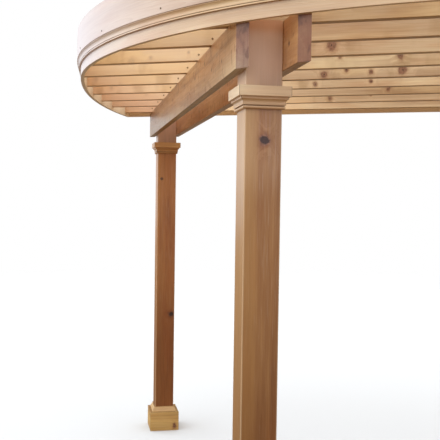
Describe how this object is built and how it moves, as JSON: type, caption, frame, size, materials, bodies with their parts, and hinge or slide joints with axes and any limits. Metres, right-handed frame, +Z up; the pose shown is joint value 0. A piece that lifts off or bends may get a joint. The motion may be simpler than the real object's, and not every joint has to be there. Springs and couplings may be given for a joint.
{
  "type": "wooden pergola",
  "caption": "Free-standing cedar pergola with a D-shaped roof: parallel rafters inside a curved moulded rim, carried by paired beams on square posts with capitals and plinths.",
  "frame": {"origin": "ground level, at the centre of the roof's plan", "axes": "+Z up, +X to the right along the rafters, +Y from the curved front to the straight back"},
  "size_m": [4.8966, 3.1016, 2.651],
  "materials": {
    "post_cedar": "satin oiled cedar",
    "beam_cedar": "satin oiled cedar",
    "rafter_cedar": "satin oiled cedar",
    "rim_cedar": "satin oiled cedar",
    "trim_cedar": "satin oiled cedar"
  },
  "bodies": {
    "root": {"post_front_left": "post_cedar", "post_rear_left": "post_cedar", "post_front_right": "post_cedar", "post_rear_right": "post_cedar", "beam_left_outer": "beam_cedar", "beam_left_inner": "beam_cedar", "beam_right_outer": "beam_cedar", "beam_right_inner": "beam_cedar", "rafter_1": "rafter_cedar", "rafter_2": "rafter_cedar", "rafter_3": "rafter_cedar", "rafter_4": "rafter_cedar", "rafter_5": "rafter_cedar", "rafter_6": "rafter_cedar", "rafter_7": "rafter_cedar", "rafter_8": "rafter_cedar", "rafter_9": "rafter_cedar", "rim_board_left": "rim_cedar", "rim_face_board_left": "rim_cedar", "rim_moulding_left": "rim_cedar", "rim_board_right": "rim_cedar", "rim_face_board_right": "rim_cedar", "rim_moulding_right": "rim_cedar", "rim_board_back": "rim_cedar", "rim_face_board_back": "rim_cedar", "rim_moulding_back": "rim_cedar", "cap_collar_front_left": "trim_cedar", "crown_moulding_front_left": "trim_cedar", "plinth_front_left": "trim_cedar", "base_moulding_front_left": "trim_cedar", "cap_collar_rear_left": "trim_cedar", "crown_moulding_rear_left": "trim_cedar", "plinth_rear_left": "trim_cedar", "base_moulding_rear_left": "trim_cedar", "cap_collar_front_right": "trim_cedar", "crown_moulding_front_right": "trim_cedar", "plinth_front_right": "trim_cedar", "base_moulding_front_right": "trim_cedar", "cap_collar_rear_right": "trim_cedar", "crown_moulding_rear_right": "trim_cedar", "plinth_rear_right": "trim_cedar", "base_moulding_rear_right": "trim_cedar"}
  },
  "joints": []
}
